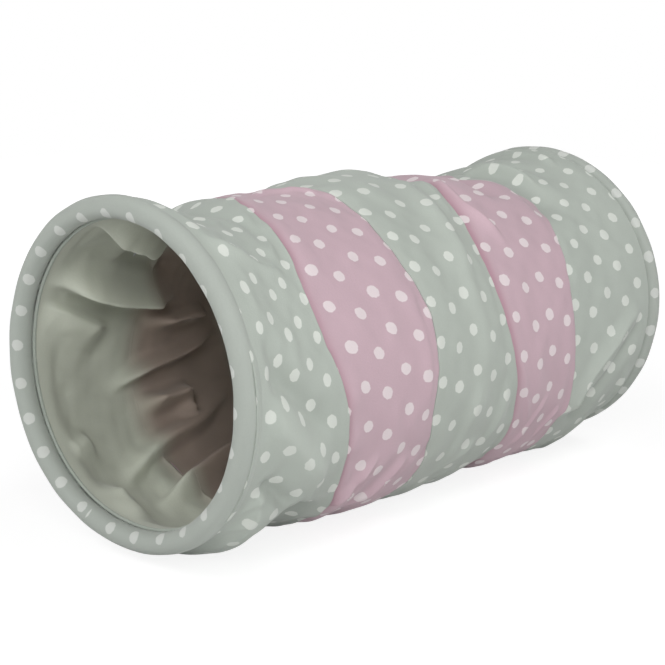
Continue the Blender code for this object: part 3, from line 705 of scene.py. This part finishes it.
# Lining
lining = {
    "start": 0.0079, "flare": 0.026, "pipingRing": 0.1096,   # it leaves the piping here and widens this long
    "hang": 0.0035, "sag": 0.0009, "sagWaves": (21, 0.05, 0.012, 12, 1.5),
    "least": 0.0008, "blend": 0.003,   # least room to the outer cloth, and how softly it is kept
    "warmReach": 0.03,   # its tone turns from grey to pink over this much of the run
    "paintedShadeFreeDepth": -0.005,   # painted light on folds that stand in further than this, painted shade on the others
}
innerFolds = (
    # the far wall, seen through the front mouth
    ((0.02, 302, 0.3, 297, 0.57, 291, 0.8, 287, 1.1, 284, 1.5, 282), -25, 13.5, 5),
    ((0.02, 290, 0.26, 286, 0.5, 279, 0.76, 273), -15, 4.5, 22),
    ((1.06, 274, 1.4, 276, 1.8, 276), -22, 4.5, 9),
    ((0.72, 249, 1.1, 255, 1.48, 259, 1.9, 266), -17, 7, 3.8),
    ((0.98, 241, 1.2, 241, 1.44, 243), -23, 8, 6),
    ((1.37, 231, 1.4, 239, 1.44, 249), -12, 9, 3),
    ((0.45, 212, 0.75, 218, 1.05, 224, 1.45, 230, 1.92, 244), -16, 11, 4.5),
    ((0.55, 198, 1.0, 206, 1.38, 213, 1.8, 219), -17, 4.2, 13),
    ((0.2, 180, 0.28, 198, 0.36, 216), -12, 14, 9),
    ((0.14, 230, 0.46, 233), -7, 8, 9),
    ((0.02, 341, 0.3, 334, 0.52, 329, 0.68, 321, 1.0, 315), -22, 22, 4.5),
    ((0.22, 317, 0.62, 309, 1.0, 301, 1.5, 293), 7, 10, 10),
    # low on the far side and along the floor
    ((0.4, 168, 0.72, 182, 1.05, 190), -6, 6, 10),
    ((1.3, 186, 1.6, 200, 1.9, 208), -6, 6, 10),
    # further in and on the near side
    ((2.2, -60, 2.6, -100, 2.5, -140), -6, 12, 16),
    ((2.3, 120, 2.6, 160, 2.4, 200), -5, 12, 14),
    ((3.2, -50, 3.5, -90, 3.4, -130), -7, 12, 10),
    ((3.4, 90, 3.7, 130, 4.1, 150), -7, 8, 12),
    ((0.5, 60, 0.9, 100), -7, 12, 8),
    ((1.4, 50, 1.6, 100), -6.5, 8, 12),
    ((4.0, -40, 4.4, -66, 4.85, -80), -8, 7, 12),
    ((3.9, -110, 4.4, -118, 4.9, -108), -8.5, 10, 6),
    ((4.1, 40, 4.5, 62, 4.9, 70), -7.5, 6, 12),
    ((3.95, 96, 4.4, 104, 4.88, 98), -8.5, 10, 6),
    ((3.8, -150, 4.3, -160, 4.8, -150), -5, 8, 10),
)


def liningRadius(run, turn, lip):
    # hangs in its own folds from a tube inside the outer cloth, is pushed in where that cloth sinks further,
    # and is drawn in to the piping at both ends
    share = ease((fromHoop(run) - lining["start"]) / lining["flare"])
    room = panels["outerWall"] + panels["gap"]
    sag = foldRise(run, turn, innerFolds, True) + lining["sag"] * waves(run, turn, *lining["sagWaves"])
    hung = slumped(run, turn) - room - lining["hang"] + sag
    limit = clothRadius(run, turn) - panels["outerWall"] - lining["least"] - lip
    inside = -smoothMax(-hung, -limit, lining["blend"])
    atPiping = lining["pipingRing"] + panels["liningWall"] / 2 - hoopPress(0.0, turn) * onFrontHalf(run)
    return atPiping + (inside - atPiping) * share


def warmth(run):   # how far the lining's tone is the pink cloth's, which fades across its seams
    front, rear, reach = marks[1:4:2], marks[2:5:2], lining["warmReach"]
    return sum(ease((run - a) / reach + 0.5) * ease((b - run) / reach + 0.5) for a, b in zip(front, rear))


def liningPanel(index, name, finish):
    run = rowsAcross(*panelEdges(index, lining["start"]))
    join = math.radians(panels["joins"][index] + panels["liningJoinShift"])
    turn = join + np.linspace(0, 2 * np.pi, panels["liningColumns"] + 1)
    ring = turn[:-1]
    along = station(run[:, None], ring)
    deep, reach = panels["liningRoom"]
    lip = deep * np.exp(-seamDistance(run) / reach)[:, None]
    radius = liningRadius(run[:, None], ring, lip)
    inner = spot(along, radius - panels["liningWall"], ring)[::-1]
    points = np.concatenate((spot(along, radius, ring), inner))
    down = np.concatenate((run, run[::-1], run[:1]))
    warm = np.repeat(warmth(down[:-1])[:, None], len(ring), 1)
    # painted light on the lining's inward folds and painted shade in its hollows, by their depth
    crest = lining["paintedShadeFreeDepth"] - foldRise(run[:, None], ring, innerFolds, True)
    piece = gridMesh(name + "_inner_cloth", points, turn * tunnel["clothRadius"], down,
                     {"crest": np.concatenate((crest, crest[::-1])) * 1000, "warm": warm})
    return dressCloth(piece, name, "_lining", finish)


for index, name in enumerate(panels["names"]):
    tones = clothTones["greyLining"], clothTones["pinkLining"]
    finish = brushedCloth(name + "_inside", tones[0], None, 0.3 + index, tones[1])
    piece = liningPanel(index, name, finish)
    width = marks[index + 1] - marks[index]
print("lining ready")

# Rims
rim = {
    "columns": 480, "sectionPoints": 56, "wall": 0.001, "slit": 0.0012,
    "join": 201,   # degrees, where its cloth is joined
    "phases": 6.28,   # random phases are drawn up to here
    "flutter": 0.00011, "swells": (3, 5, 8, 11, 17, 23), "swellSizes": (0.4, 1.0),
    "pucker": 0.00012, "gathers": (83, 97, 109),
    "sewnAt": 205, "sewnWidth": 0.55,   # the cloth is gathered about this angle of the section, in degrees
}
padding = {"columns": 240, "sectionPoints": 28, "opening": 0.1, "clearance": 0.0003, "bore": 0.0028}
piping = {
    "at": 220,   # degrees, its place on the rim's section
    "radius": 0.0014, "clearance": 0.0003, "sides": 14, "twist": 0.00012, "strands": 3, "twists": 260,
    "flatRadius": 0.11, "flatGirth": 0.0088,   # its cloth laid flat: of the ring and round the cord
}


def hoopGrid(name, end, forth, outwards, turn, across, down):
    # grid carried round a hoop, its points so far forth out of the mouth and outwards of the hoop wire
    facing, hoop = (-1, 0.0) if end == "front" else (1, tunnel["length"])
    ring = turn[:-1]
    along = station(np.full(ring.shape, hoop), ring) + facing * forth
    points = spot(along, tunnel["hoopRadius"] - hoopPress(hoop, ring) + outwards, ring)
    return gridMesh(name, points if end == "front" else points[::-1], across, down)


def shell(name, angles, outer, inner, end, columns, wobble=None):
    # shell round a hoop, open at the two ends of its angles, 0 outwards and 90 out of the mouth, with two
    # distances from the hoop wire; its inside has half as many points
    turn = math.radians(rim["join"]) + np.linspace(0, 2 * np.pi, columns + 1)
    angle = np.concatenate((angles, angles[::-2]))
    down = -np.append(angle, angle[0]) * tunnel["rimTube"]
    angle = angle[:, None]
    reach = np.where(np.arange(len(angle)) < len(angles), outer, inner)[:, None]
    if wobble:
        reach = reach + wobble(angle, turn[:-1])
    return hoopGrid(name, end, reach * np.sin(angle), reach * np.cos(angle), turn,
                    turn * tunnel["clothRadius"], down if end == "front" else down[::-1])


def coverWobble(end):
    def wobble(angle, ring):   # slow swells round the rim, and gathers near the slit
        draw = np.random.default_rng(11 if end == "front" else 12)
        last = rim["phases"]
        swell = sum(np.sin(n * ring + draw.uniform(0, last)) * draw.uniform(*rim["swellSizes"])
                    for n in rim["swells"])
        sewn = np.exp(-((angle - math.radians(rim["sewnAt"])) / rim["sewnWidth"]) ** 2)
        gather = sum(np.sin(n * ring + draw.uniform(0, last)) for n in rim["gathers"])
        return rim["flutter"] * swell + rim["pucker"] * gather * sewn
    return wobble


def buildRim(end):
    tubeRadius = tunnel["rimTube"]
    inside = tubeRadius - rim["wall"]
    slit = rim["slit"] / 2 / tubeRadius
    angles = np.linspace(-math.pi / 2 + slit, 3 * math.pi / 2 - slit, rim["sectionPoints"])
    cover = shell(end + "_rim_cloth", angles, tubeRadius, inside, end, rim["columns"], coverWobble(end))
    dress(cover, end + "_end", end + "_rim_cover", clothOf(end + "_rim"))
    2 * math.pi * tubeRadius
    opening = padding["opening"]
    angles = np.linspace(-math.pi / 2 + opening, 3 * math.pi / 2 - opening, padding["sectionPoints"])
    foam = shell(end + "_rim_foam", angles, inside - padding["clearance"], padding["bore"], end,
                 padding["columns"])
    dress(foam, end + "_end", end + "_rim_padding", foamFinish)
    pipingRing(end)


def pipingRing(end):
    # cord that lies on the rim inside the mouth: a round section with strands that twist along it
    at = math.radians(piping["at"])
    reach = tunnel["rimTube"] + piping["clearance"] + piping["radius"]
    turn = np.linspace(0, 2 * np.pi, rim["columns"] + 1)
    angle = np.linspace(0, 2 * np.pi, piping["sides"] + 1)[:-1, None]
    strands = np.sin(angle * piping["strands"] + piping["twists"] * turn[:-1])
    size = piping["radius"] + piping["twist"] * strands
    cord = hoopGrid(end + "_rim_cord", end, reach * math.sin(at) + size * np.sin(angle),
                    reach * math.cos(at) + size * np.cos(angle), turn, turn * piping["flatRadius"],
                    np.linspace(0, piping["flatGirth"], piping["sides"] + 1))
    dress(cord, end + "_end", end + "_rim_piping", pipingFinish)


foamFinish = plainMaterial("rim_foam", tone(228, 224, 208), {"Roughness": 0.95}, 900.0, 0.06, 0.0004)
pipingFinish = brushedCloth("rim_piping", tone(170, 177, 168), None, 2.0)
for end in ("front", "rear"):
    buildRim(end)
print("rims ready")

# Spring wire and the small metal and rubber pieces
steelFinish = plainMaterial("spring_steel", tone(176, 178, 181), {"Roughness": 0.32, "Metallic": 1.0},
                            1500.0, 0.05, 0.00003)
sleeveFinish = plainMaterial("crimped_sleeve", tone(168, 169, 170), {"Roughness": 0.42, "Metallic": 1.0},
                             900.0, 0.07, 0.00004)
rubberFinish = plainMaterial("cap_rubber", tone(52, 52, 54), {"Roughness": 0.62}, 1200.0, 0.1, 0.00005)


def wirePath():   # a helix just under the outer cloth, a little deeper in its caps
    run = np.linspace(spring["margin"], tunnel["length"] - spring["margin"], spring["points"])
    turn = wireTurn(run)
    toEnd = fromHoop(run) - spring["margin"]
    inCap = (1 - ease(toEnd / spring["margin"])) * (spring["capWall"] + 2 * spring["clearance"])
    depth = panels["outerWall"] + spring["clearance"] + spring["wire"] / 2 + inCap
    folded = foldRise(run, turn, mainFolds, False, 0.0) * ramp(run, *tunnel["foldRamp"])
    radius = np.minimum(slumped(run, turn) + folded, floorRadius(turn)) - depth
    return spot(station(run, turn), radius, turn)


def springWire():
    # rings of points across the wire's path, with one point to close either end
    path, sides = wirePath(), spring["sides"]
    ahead = np.gradient(path, axis=0)
    ahead /= np.linalg.norm(ahead, axis=1, keepdims=True)
    outwards = path - path * (1, 0, 0) - np.array((0, 0, tunnel["axisHeight"]))
    sideways = np.cross(ahead, outwards)
    sideways /= np.linalg.norm(sideways, axis=1, keepdims=True)
    outwards = np.cross(sideways, ahead)
    angles = np.linspace(0, 2 * np.pi, sides, endpoint=False)[:, None]
    across = np.cos(angles) * outwards[:, None] + np.sin(angles) * sideways[:, None]
    rings = path[:, None] + spring["wire"] / 2 * across
    points = np.concatenate((path[:1], rings.reshape(-1, 3), path[-1:]))
    pairs = [(k, (k + 1) % sides) for k in range(sides)]
    end = 1 + (len(path) - 1) * sides
    rows = range(1, end, sides)
    faces = [(row + a, row + b, row + b + sides, row + a + sides) for row in rows for a, b in pairs]
    faces += [(0, 1 + b, 1 + a) for a, b in pairs]
    faces += [(len(points) - 1, end + a, end + b) for a, b in pairs]
    mesh = bpy.data.meshes.new("spring_wire")
    mesh.from_pydata(points.tolist(), [], faces)
    piece = addPiece("spring_wire", mesh)
    dress(piece, "rear_end", "spiral_wire", steelFinish)
    pressFlat(piece)


springWire()
small = {"_hoop_wire": steelFinish, "_hoop_sleeve": sleeveFinish, "_wire_cap": rubberFinish}
for end in ("front", "rear"):
    for part, finish in small.items():
        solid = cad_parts[end + part]
        solid.data.materials.clear()
        solid.data.materials.append(finish)
print("wire, hoops and caps ready")

# Floor, world, lamps, camera
stage = {
    "reach": 2.4, "white": 0.80,   # the floor's half width, and how much light it throws back
    "cameraWhite": 0.26, "glow": 0.85,   # what the camera sees of it: shaded white over a glow
    "farFrom": 0.5, "farTo": 1.8, "farGlow": 1.05,   # it rises to this between these distances
    "ambient": 0.03,
}
lampSize = {"distance": 2.4, "width": 1.2, "height": 0.9}
lamps = (
    # name, turn and rise of its direction in degrees, watts
    ("low", -48.0, 14.0, 4.0),
    ("front", -48.0, 28.0, 20.5),
    ("left", -135.0, 20.0, 9.0),
    ("leftHigh", -115.0, 40.0, 14.0),
    ("side", -10.0, 10.0, 8.5),
    ("rightTop", 20.0, 55.0, 21.0),
)


def seenRay(tree):   # 1 for camera, glossy and transmission rays
    path = tree.nodes.new("ShaderNodeLightPath")
    outs = [Flow(tree, path.outputs["Is " + kind + " Ray"]) for kind in ("Camera", "Glossy", "Transmission")]
    return (outs[0] + outs[1] + outs[2]).maths("MINIMUM", 1.0)


def seenAndLit(tree, lit, seen, kind):   # one shader for light that bounces, and another for what is seen
    both = node(tree, "MixShader", {}, {0: seenRay(tree), 1: lit, 2: seen})
    output = tree.nodes.new("ShaderNodeOutput" + kind)
    tree.links.new(both.socket, output.inputs[0])


def buildFloor():
    reach = stage["reach"]
    corners = [(-reach, -reach, 0), (reach, -reach, 0), (reach, reach, 0), (-reach, reach, 0)]
    mesh = bpy.data.meshes.new("studio_floor")
    mesh.from_pydata(corners, [], [(0, 1, 2, 3)])
    floor = bpy.data.objects.new("studio_floor", mesh)
    bpy.context.scene.collection.objects.link(floor)
    made = bpy.data.materials.new("studio_white")
    made.use_nodes = True
    tree = made.node_tree
    tree.nodes.clear()
    far = node(tree, "VectorMath", {"operation": "LENGTH"}, {0: node(tree, "TexCoord", out=3)}, out=1)
    lift = node(tree, "MapRange", {}, {"Value": far, "From Min": stage["farFrom"], "From Max": stage["farTo"],
                                       "To Min": stage["glow"], "To Max": stage["farGlow"]})
    matte, thin = (node(tree, "BsdfDiffuse", {}, {"Color": (stage[key],) * 3 + (1,)})
                   for key in ("white", "cameraWhite"))
    glow = node(tree, "Emission", {}, {"Color": (1, 1, 1, 1), "Strength": lift})
    seenAndLit(tree, matte, node(tree, "AddShader", {}, {0: thin, 1: glow}), "Material")
    mesh.materials.append(made)


def buildWorld():
    world = bpy.data.worlds.new("studio")
    world.use_nodes = True
    bpy.context.scene.world = world
    tree = world.node_tree
    tree.nodes.clear()
    ambient, white = (node(tree, "Background", {}, {"Color": (1, 1, 1, 1), "Strength": strength})
                      for strength in (stage["ambient"], 1.0))
    seenAndLit(tree, ambient, white, "World")


def placeAt(holder, turn, rise, distance, aim):
    # stands a lamp or camera off its aim, facing it: turn 0 is -Y and 90 is +X
    a, e = math.radians(turn), math.radians(rise)
    back = Vector((math.sin(a) * math.cos(e), -math.cos(a) * math.cos(e), math.sin(e)))
    holder.location = Vector(aim) + back * distance
    holder.rotation_euler = (-back).to_track_quat("-Z", "Y").to_euler()
    bpy.context.scene.collection.objects.link(holder)


def buildLamps():
    for name, turn, rise, watts in lamps:
        lamp = bpy.data.lights.new(name, "AREA")
        lamp.shape, lamp.energy = "RECTANGLE", watts
        lamp.size, lamp.size_y = lampSize["width"], lampSize["height"]
        holder = bpy.data.objects.new(name, lamp)
        placeAt(holder, turn, rise, lampSize["distance"], (0, 0, tunnel["axisHeight"]))


look = {"turn": -48.21, "rise": 11.4436, "distance": 1.2825, "lens": 90.18, "aim": (-0.02989, 0.0, 0.13003)}


def buildCamera():
    camera = bpy.data.cameras.new("photo_view")
    camera.lens, camera.sensor_width = look["lens"], 36.0
    camera.clip_start, camera.clip_end = 0.05, 60
    holder = bpy.data.objects.new("photo_view", camera)
    placeAt(holder, look["turn"], look["rise"], look["distance"], look["aim"])
    bpy.context.scene.camera = holder


buildFloor()
buildWorld()
buildLamps()
buildCamera()
bpy.context.scene.view_settings.view_transform = "Standard"
print("stage, lamps and camera ready")
